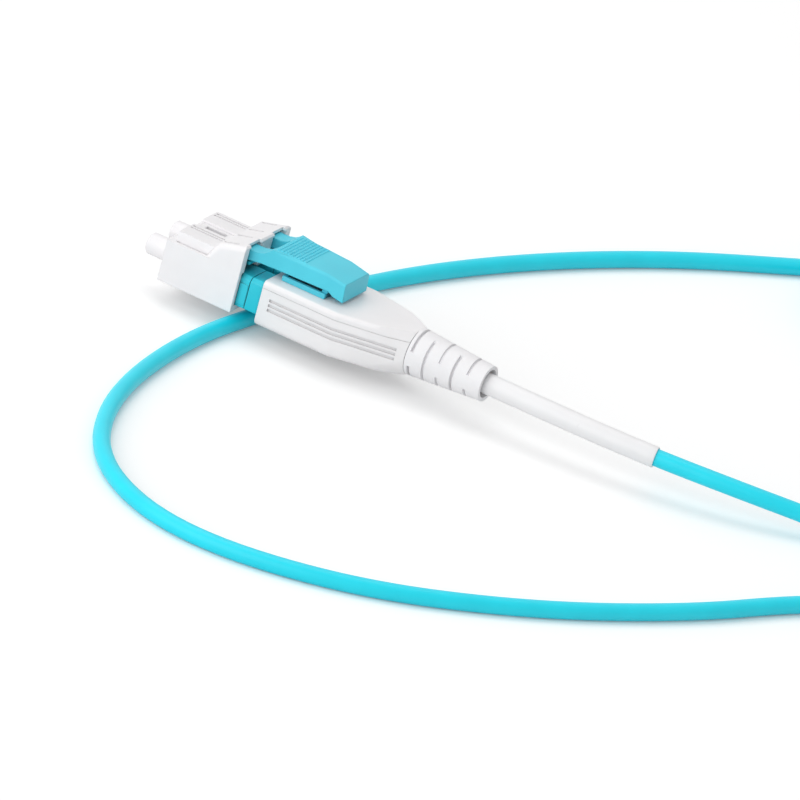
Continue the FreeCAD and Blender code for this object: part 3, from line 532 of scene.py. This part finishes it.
@dataclass
class PatchCord:
    """The round cord, from the near boot through the coil to the far boot."""

    diameter: float = 0.0023
    length: float = 1.0
    boot_end: Point = (0.04505, 0.0, 0.0)
    run: Sequence[Point] = (
        (0.0334, 0.0, 0.0),
        (0.0500, 0.0, 0.0),
        (0.0665, 0.0017, -0.00065),
        (0.0810, 0.0060, -0.0017),
        (0.0919, 0.0121, -0.0036),
        (0.1022, 0.0082, -0.0045),
        (0.1051, -0.0020, CORD_Z),
        (0.0983, -0.0112, CORD_Z),
        (0.0906, -0.0271, CORD_Z),
        (0.0769, -0.0458, CORD_Z),
        (0.0589, -0.0613, CORD_Z),
        (0.0376, -0.0676, CORD_Z),
        (0.0213, -0.0593, CORD_Z),
        (0.0121, -0.0409, CORD_Z),
        (0.0092, -0.0165, CORD_Z),
        (0.0120, 0.0060, CORD_Z),
        (0.0166, 0.0281, CORD_Z),
        (0.0249, 0.0492, CORD_Z),
        (0.0363, 0.0687, CORD_Z),
        (0.0506, 0.0857, CORD_Z),
    )
    far_run: Sequence[Point] = (
        (0.0925, 0.0994, CORD_Z),
        (0.1120, 0.1015, CORD_Z),
        (0.1202, 0.1090, CORD_Z),
        (0.1202, 0.1196, CORD_Z),
        (0.1125, 0.1269, -0.0044),
        (0.0990, 0.1271, -0.0032),
        (0.0847, 0.1270, -0.00245),
        (0.0704, 0.1270, -0.00245),
    )
    coil_centre: tuple[float, float] = (0.0715, 0.0840)
    coil_radius: float = 0.0130
    coil_columns: int = 4
    coil_pitch: float = 0.0023
    coil_start: float = 137.0
    coil_end: float = 81.0
    points_per_turn: int = 16
    climb_turns: float = 0.5
    steps: int = 10
    roundness: int = 6

    def coil_points(self) -> list[Point]:
        """The coil's turns: a layer of rings inwards on the floor and one outwards on top of it.

        Returns:
            The points that steer the spline through the turns, clockwise seen from above.
        """
        turns = 2 * (self.coil_columns - 1) + (self.coil_start - self.coil_end) / 360
        count = round(turns * self.points_per_turn)
        half = (self.coil_columns - 1) * self.coil_pitch / 2
        outset = 2 / (1 + math.cos(math.pi / self.points_per_turn))
        points = []
        for index in range(count + 1):
            turned = turns * index / count
            layer = self.coil_columns - 1
            inward = min(turned, layer)
            outward = min(max(turned - layer, 0), layer)
            radius = (self.coil_radius + half - self.coil_pitch * (inward - outward)) * outset
            climb = min(max((turned - layer) / self.climb_turns + 0.5, 0), 1)
            angle = math.radians(self.coil_start - 360 * turned)
            points.append(
                (
                    self.coil_centre[0] + radius * math.cos(angle),
                    self.coil_centre[1] + radius * math.sin(angle),
                    CORD_Z + self.diameter * climb * climb * (3 - 2 * climb),
                )
            )
        return points

    def spline(self, name: str, points: Sequence[Point], bevel: float) -> bpy.types.Object:
        """One smooth curve steered by the given points.

        Args:
            name: The new object's name.
            points: The spline's control points.
            bevel: The curve's thickness, as a radius.

        Returns:
            The curve's object.
        """
        curve = bpy.data.curves.new(name, "CURVE")
        curve.dimensions = "3D"
        line = curve.splines.new("NURBS")
        line.points.add(len(points) - 1)
        for control, place in zip(line.points, points):
            control.co = (*place, 1.0)
        line.order_u = 3
        line.use_endpoint_u = True
        line.resolution_u = self.steps
        curve.bevel_depth = bevel
        curve.bevel_resolution = self.roundness
        curve.use_fill_caps = True
        piece = bpy.data.objects.new(name, curve)
        bpy.context.scene.collection.objects.link(piece)
        return piece

    def centreline(self, points: Sequence[Point]) -> list[Vector]:
        """Points read from the smooth curve that the given points steer.

        Args:
            points: The spline's control points.

        Returns:
            The curve's own points, close together, from its first end.
        """
        probe = self.spline("cord_probe", points, 0.0)
        line = bpy.data.meshes.new_from_object(probe)
        found = [vertex.co.copy() for vertex in line.vertices]
        bpy.data.objects.remove(probe)
        bpy.data.meshes.remove(line)
        return found

    def build(self) -> bpy.types.Object:
        """Make the cord and let it stand for its solids.

        Returns:
            The cord's curve.
        """
        points = [*self.run, *self.coil_points(), *self.far_run]
        cord = self.spline("patch_cord", points, self.diameter / 2)
        cord.data.materials.append(AQUA_JACKET.material())
        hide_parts("cord", "cord_coil", "cord_far_lead")
        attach(cord, ROOT_BODY)
        log.info("patch cord: %d points", len(points))
        return cord


@dataclass
class Sleeve:
    """The white tube slipped over the cord behind a boot, cut square at its free end."""

    name: str
    node: str
    start: float
    end: float
    outer_radius: float = 0.00142
    inner_radius: float = 0.00127
    lip: float = 0.00008
    lip_turns: Sequence[float] = (0, 30, 60, 90)
    sides: int = 40
    sharp_from: float = 50.0

    def along(self, line: Sequence[Vector]) -> list[Vector]:
        """The part of the cord's line that the sleeve covers.

        Args:
            line: The cord's own line, which passes both ends of the sleeve.

        Returns:
            The line's points from start to end along X, with both ends put in exactly.
        """

        def crossing(first: Vector, second: Vector, where: float) -> Vector:
            """Find the point between two others where X has the given value.

            Args:
                first: The point before it.
                second: The point after it.
                where: The value of X.

            Returns:
                The point.
            """
            return first.lerp(second, (where - first.x) / (second.x - first.x))

        kept: list[Vector] = []
        for first, second in zip(line, line[1:]):
            if not kept and first.x <= self.start < second.x:
                kept.append(crossing(first, second, self.start))
            if kept and first.x <= self.end < second.x:
                kept.append(crossing(first, second, self.end))
                return kept
            if kept:
                kept.append(second)
        return kept

    def build(self, line: Sequence[Vector]) -> bpy.types.Object:
        """Sweep the tube's wall along the cord.

        Args:
            line: The cord's own line, from the boot outwards along X.

        Returns:
            The sleeve.
        """
        path = self.along(line)
        work = bmesh.new()
        stations = [(point, self.outer_radius) for point in path[:-1]]
        last = path[-1]
        heading = (path[-1] - path[-2]).normalized()
        for turn in self.lip_turns:
            lean = math.radians(turn)
            back = self.lip * (1 - math.sin(lean))
            radius = self.outer_radius - self.lip * (1 - math.cos(lean))
            stations.append((last - heading * back, radius))
        stations.append((last, self.inner_radius + self.lip / 2))
        stations.append((last - heading * self.lip / 2, self.inner_radius))
        stations += [(point, self.inner_radius) for point in reversed(path[:-1])]
        rings = []
        for place, radius in stations:
            near = min(range(len(path)), key=lambda index: (path[index] - place).length)
            ahead = path[min(near + 1, len(path) - 1)] - path[max(near - 1, 0)]
            side = ahead.cross(Vector((0, 0, 1))).normalized()
            over = side.cross(ahead).normalized()
            rings.append(
                [
                    work.verts.new(
                        place
                        + side * (radius * math.cos(math.tau * step / self.sides))
                        + over * (radius * math.sin(math.tau * step / self.sides))
                    )
                    for step in range(self.sides)
                ]
            )
        for first, second in zip(rings, [*rings[1:], rings[0]]):
            for step in range(self.sides):
                after = (step + 1) % self.sides
                work.faces.new((first[step], second[step], second[after], first[after]))
        bmesh.ops.recalc_face_normals(work, faces=work.faces)
        mesh = bpy.data.meshes.new(self.name)
        work.to_mesh(mesh)
        work.free()
        mesh.shade_smooth()
        mesh.set_sharp_from_angle(angle=math.radians(self.sharp_from))
        mesh.materials.append(SLEEVE_WHITE.material())
        piece = bpy.data.objects.new(self.name, mesh)
        bpy.context.scene.collection.objects.link(piece)
        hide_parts(self.node)
        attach(piece, ROOT_BODY)
        log.info("%s: %d rings", self.name, len(rings))
        return piece


# --------------------------------------------------------------------------------------------------
# The connectors
# --------------------------------------------------------------------------------------------------


@dataclass(frozen=True)
class Softening:
    """How far a moulded piece's edges are rounded, and how its facets are cleaned first."""

    width: float = 0.00012
    segments: int = 3
    from_angle: float = 35.0
    weld: float = 0.000001
    join_flats: bool = True
    flat_within: float = 0.5

    def apply(self, piece: bpy.types.Object) -> None:
        """Round the piece's edges with modifiers, and leave its own mesh as it is.

        Args:
            piece: The piece to soften.
        """
        mesh = piece.data
        stored = mesh.attributes.get("custom_normal")
        if stored is not None:
            mesh.attributes.remove(stored)
        mesh.shade_smooth()
        weld = piece.modifiers.new("weld", "WELD")
        weld.merge_threshold = self.weld
        if self.join_flats:
            clean = piece.modifiers.new("clean", "DECIMATE")
            clean.decimate_type = "DISSOLVE"
            clean.angle_limit = math.radians(self.flat_within)
        bevel = piece.modifiers.new("soften", "BEVEL")
        bevel.width = self.width
        bevel.segments = self.segments
        bevel.limit_method = "ANGLE"
        bevel.angle_limit = math.radians(self.from_angle)
        bevel.harden_normals = True
        bevel.miter_outer = "MITER_ARC"


@dataclass
class Connector:
    """One duplex connector's moulded pieces."""

    prefix: str = ""
    origin: Point = (0.0, 0.0, 0.0)
    finishes: dict[str, Moulded | Metal] = field(
        default_factory=lambda: {
            "dust_cap": CAP_WHITE,
            "plug_body_left": AQUA_MOULDED,
            "plug_body_right": AQUA_MOULDED,
            "rear_body_left": AQUA_MOULDED,
            "rear_body_right": AQUA_MOULDED,
            "latch_arm_left": AQUA_MOULDED,
            "latch_arm_right": AQUA_MOULDED,
            "housing_top": HOUSING_WHITE,
            "housing_bottom": HOUSING_WHITE,
            "boot": BOOT_WHITE,
            "trigger_clip": CLIP_BLUE,
            "trigger": TRIGGER_BLUE,
            "ferrule_left": CERAMIC_WHITE,
            "ferrule_right": CERAMIC_WHITE,
            "ferrule_flange_left": FLANGE_STEEL,
            "ferrule_flange_right": FLANGE_STEEL,
            "fibre_tube_left": TUBE_WHITE,
            "fibre_tube_right": TUBE_WHITE,
            "crimp_body": FLANGE_STEEL,
            "crimp_ring": FLANGE_STEEL,
        }
    )
    soft_edges: dict[str, Softening] = field(
        default_factory=lambda: {
            "dust_cap": Softening(0.00009, weld=0.00002, join_flats=False),
            "plug_body_left": Softening(0.00008),
            "plug_body_right": Softening(0.00008),
            "rear_body_left": Softening(0.00008),
            "rear_body_right": Softening(0.00008),
            "latch_arm_left": Softening(0.00006),
            "latch_arm_right": Softening(0.00006),
            "housing_top": Softening(0.00003, join_flats=False),
            "housing_bottom": Softening(0.00003, join_flats=False),
            "boot": Softening(0.00005, join_flats=False),
            "trigger_clip": Softening(0.00005),
            "trigger": Softening(0.00010, weld=0.00003, join_flats=False),
        }
    )

    def dress(self) -> list[bpy.types.Object]:
        """Give each piece its finish and its soft edges.

        Returns:
            The connector's pieces.
        """
        dressed = []
        for name, finish in self.finishes.items():
            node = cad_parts.get(self.prefix + name)
            if node is None:
                continue
            node.data.materials.clear()
            if isinstance(finish, Moulded):
                finish = finish.at(self.prefix, self.origin)
            node.data.materials.append(finish.material())
            if name in self.soft_edges:
                self.soft_edges[name].apply(node)
            dressed.append(node)
            log.info("%s%s: %s", self.prefix, name, finish.name)
        return dressed


@dataclass(frozen=True)
class ThumbGrid:
    """The fine raised studs that a thumb rests on, on the front half of a trigger's plate."""

    prefix: str = ""
    origin: Point = (0.0, 0.0, 0.0)
    plate_front: tuple[float, float] = (0.01305, 0.0065)
    plate_middle: tuple[float, float] = (0.0180, 0.0064)
    start: float = 0.0134
    pitch: float = 0.0005
    rows: int = 9
    columns: int = 13
    foot: float = 0.00042
    crest: float = 0.00033
    height: float = 0.00009
    sunk: float = 0.00002

    def plate_top(self, along: float) -> float:
        """How high the plate's top lies at a place along it.

        Args:
            along: The place's X in the connector's own frame.

        Returns:
            The top's Z in that frame.
        """
        share = (along - self.plate_front[0]) / (self.plate_middle[0] - self.plate_front[0])
        return self.plate_front[1] + share * (self.plate_middle[1] - self.plate_front[1])

    def build(self) -> bpy.types.Object:
        """Make the studs as one mesh that moves with the trigger.

        Returns:
            The grid.
        """
        places: list[Vector] = []
        faces: list[tuple[int, ...]] = []
        for row in range(self.rows):
            for column in range(self.columns):
                first = len(places)
                across = (column - (self.columns - 1) / 2) * self.pitch
                for size, lift in ((self.foot, -self.sunk), (self.crest, self.height)):
                    for ahead, aside in ((-1, -1), (1, -1), (1, 1), (-1, 1)):
                        x = self.start + row * self.pitch + ahead * size / 2
                        y = across + aside * size / 2
                        corner = Vector((x, y, self.plate_top(x) + lift))
                        places.append(Vector(self.origin) + corner)
                faces.append((first + 3, first + 2, first + 1, first))
                faces.append((first + 4, first + 5, first + 6, first + 7))
                for step in range(4):
                    after = (step + 1) % 4
                    faces.append((first + step, first + after, first + 4 + after, first + 4 + step))
        name = f"{self.prefix}thumb_grid"
        mesh = bpy.data.meshes.new(name)
        mesh.from_pydata(places, [], faces)
        mesh.materials.append(GRID_BLUE.material())
        piece = bpy.data.objects.new(name, mesh)
        bpy.context.scene.collection.objects.link(piece)
        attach(piece, f"{self.prefix}trigger_body")
        log.info("%s: %d studs", name, self.rows * self.columns)
        return piece


@dataclass(frozen=True)
class FerruleSpring:
    """A plug's coil spring."""

    side: str
    travel: float = 0.0008

    def build(self) -> bpy.types.Object:
        """Make the spring from its solid's own mesh.

        Returns:
            The spring.
        """
        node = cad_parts[f"ferrule_spring_{self.side}"]
        piece = bpy.data.objects.new(f"spring_{self.side}", node.data.copy())
        piece.matrix_world = node.matrix_world
        piece.data.materials.clear()
        piece.data.materials.append(SPRING_STEEL.material())
        bpy.context.scene.collection.objects.link(piece)
        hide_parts(node.name)
        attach(piece, ROOT_BODY)
        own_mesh(piece)
        return piece


# --------------------------------------------------------------------------------------------------
# Stage
# --------------------------------------------------------------------------------------------------


@dataclass(frozen=True)
class Lamp:
    """A square soft lamp that looks at the object."""

    name: str
    towards: Point
    distance: float
    size: float
    level: float

    def build(self, aim: Vector) -> None:
        """Hang the lamp.

        Args:
            aim: The place that it looks at, from its distance and against its direction.
        """
        lamp = bpy.data.lights.new(self.name, "AREA")
        lamp.shape = "SQUARE"
        lamp.size = self.size
        lamp.energy = self.level * math.pi**2 * self.distance**2
        piece = bpy.data.objects.new(self.name, lamp)
        back = Vector(self.towards).normalized()
        piece.location = aim + back * self.distance
        piece.rotation_mode = "QUATERNION"
        piece.rotation_quaternion = back.to_track_quat("Z", "Y")
        bpy.context.scene.collection.objects.link(piece)


@dataclass
class Studio:
    """A pale floor, soft lamps and the camera."""

    floor_size: float = 6.0
    floor_gap: float = 0.00001
    floor_albedo: float = 0.80
    floor_shown: float = 1.0
    floor_lift: float = 0.11
    far_floor_lift: float = 0.55
    lift_reach: tuple[float, float] = (0.15, 1.2)
    world_level: float = 0.49
    lamps: Sequence[Lamp] = (
        Lamp("key_lamp", towards=(-0.3, 0.15, 1.0), distance=0.9, size=0.7, level=0.30),
        Lamp("side_lamp", towards=(-0.35, -1.0, 0.35), distance=1.1, size=1.5, level=0.90),
    )
    camera_distance: float = 1.8
    camera_reach: tuple[float, float] = (0.01, 20.0)
    sensor_width: float = 36.0
    view_width: float = 0.1032
    aim: Point = (0.03179, 0.00473, -0.00951)
    right: Point = (0.850, 0.471, 0.237)
    up: Point = (-0.387, 0.256, 0.885)

    def build_floor(self) -> None:
        """A wide pale floor that keeps the shadows and meets the white background."""
        bench = NodeBench("studio_floor")
        matt = bench.add("ShaderNodeBsdfDiffuse")
        matt.inputs["Color"].default_value = (*(self.floor_albedo,) * 3, 1.0)
        shown = bench.add("ShaderNodeBsdfDiffuse")
        shown.inputs["Color"].default_value = (*(self.floor_shown,) * 3, 1.0)
        lift = bench.add("ShaderNodeEmission")
        distance = bench.add("ShaderNodeVectorMath", operation="LENGTH")
        bench.join(bench.place(), distance.inputs[0])
        levels = (self.floor_lift, self.far_floor_lift)
        rise = bench.remap(distance.outputs["Value"], self.lift_reach, levels, smooth=True)
        bench.join(rise, lift.inputs["Strength"])
        path = bench.add("ShaderNodeLightPath")
        blend = bench.add("ShaderNodeMixShader")
        total = bench.add("ShaderNodeAddShader")
        bench.join(shown.outputs[0], total.inputs[0])
        bench.join(lift.outputs[0], total.inputs[1])
        seen = bench.maths("ADD", path.outputs["Is Camera Ray"], path.outputs["Is Glossy Ray"])
        seen = bench.maths("ADD", seen, path.outputs["Is Transmission Ray"])
        bench.join(seen, blend.inputs["Fac"])
        bench.join(matt.outputs[0], blend.inputs[1])
        bench.join(total.outputs[0], blend.inputs[2])
        bench.join(blend.outputs[0], bench.output.inputs["Surface"])
        half = self.floor_size / 2
        mesh = bpy.data.meshes.new("floor")
        corners = [(-half, -half), (half, -half), (half, half), (-half, half)]
        mesh.from_pydata([(x, y, FLOOR_Z - self.floor_gap) for x, y in corners], [], [(0, 1, 2, 3)])
        mesh.materials.append(bench.material)
        floor = bpy.data.objects.new("floor", mesh)
        bpy.context.scene.collection.objects.link(floor)

    def build_world(self) -> None:
        """A white surround that lights evenly and shows white."""
        world = bpy.data.worlds.new("surround")
        world.use_nodes = True
        tree = world.node_tree
        tree.nodes.clear()
        output = tree.nodes.new("ShaderNodeOutputWorld")
        glow = tree.nodes.new("ShaderNodeBackground")
        white = tree.nodes.new("ShaderNodeBackground")
        mix = tree.nodes.new("ShaderNodeMixShader")
        path = tree.nodes.new("ShaderNodeLightPath")
        for light, level in ((glow, self.world_level), (white, 1.0)):
            light.inputs["Color"].default_value = (1, 1, 1, 1)
            light.inputs["Strength"].default_value = level
        seen = path.outputs["Is Camera Ray"]
        for ray in ("Is Glossy Ray", "Is Transmission Ray"):
            total = tree.nodes.new("ShaderNodeMath")
            tree.links.new(seen, total.inputs[0])
            tree.links.new(path.outputs[ray], total.inputs[1])
            seen = total.outputs[0]
        tree.links.new(seen, mix.inputs["Fac"])
        tree.links.new(glow.outputs[0], mix.inputs[1])
        tree.links.new(white.outputs[0], mix.inputs[2])
        tree.links.new(mix.outputs[0], output.inputs["Surface"])
        bpy.context.scene.world = world

    def build_camera(self) -> None:
        """The camera, far off on a long lens, so that it draws the cord equally thick all over."""
        right, up = Vector(self.right).normalized(), Vector(self.up)
        back = right.cross(up).normalized()
        up = back.cross(right)
        lens = bpy.data.cameras.new("camera")
        lens.sensor_width = self.sensor_width
        lens.lens = lens.sensor_width * self.camera_distance / self.view_width
        lens.clip_start, lens.clip_end = self.camera_reach
        camera = bpy.data.objects.new("camera", lens)
        turn = Matrix((right, up, back)).transposed().to_4x4()
        place = Vector(self.aim) + back * self.camera_distance
        camera.matrix_world = Matrix.Translation(place) @ turn
        bpy.context.scene.collection.objects.link(camera)
        bpy.context.scene.camera = camera

    def build(self) -> None:
        """Set up the floor, the surround and the lamps."""
        self.build_floor()
        self.build_world()
        for lamp in self.lamps:
            lamp.build(Vector(self.aim))
        bpy.context.scene.view_settings.view_transform = "Standard"
        log.info("studio: floor at %.4f", FLOOR_Z)


def main() -> None:
    """Build the cord, dress both connectors and set the stage."""
    logging.basicConfig(level=logging.INFO, format="%(name)s: %(message)s")
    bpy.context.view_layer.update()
    studio = Studio()
    studio.build_camera()
    cord = PatchCord()
    cord_piece = cord.build()
    line, far_line = cord.centreline(cord.run), cord.centreline(cord.far_run)
    near_sleeve = Sleeve("sleeve", "furcation_sleeve", SLEEVE_START, SLEEVE_END).build(line)
    far_start, far_end = (FAR_ORIGIN[0] + place for place in (SLEEVE_START, SLEEVE_END))
    far_sleeve = Sleeve("far_sleeve", "far_furcation_sleeve", far_start, far_end).build(
        far_line[::-1]
    )
    Connector().dress()
    for side in SIDES:
        FerruleSpring(side).build()
    ThumbGrid().build()
    far_pieces = Connector("far_", FAR_ORIGIN).dress()
    far_grid = ThumbGrid("far_", FAR_ORIGIN).build()
    studio.build()


if __name__ == "__main__":
    main()
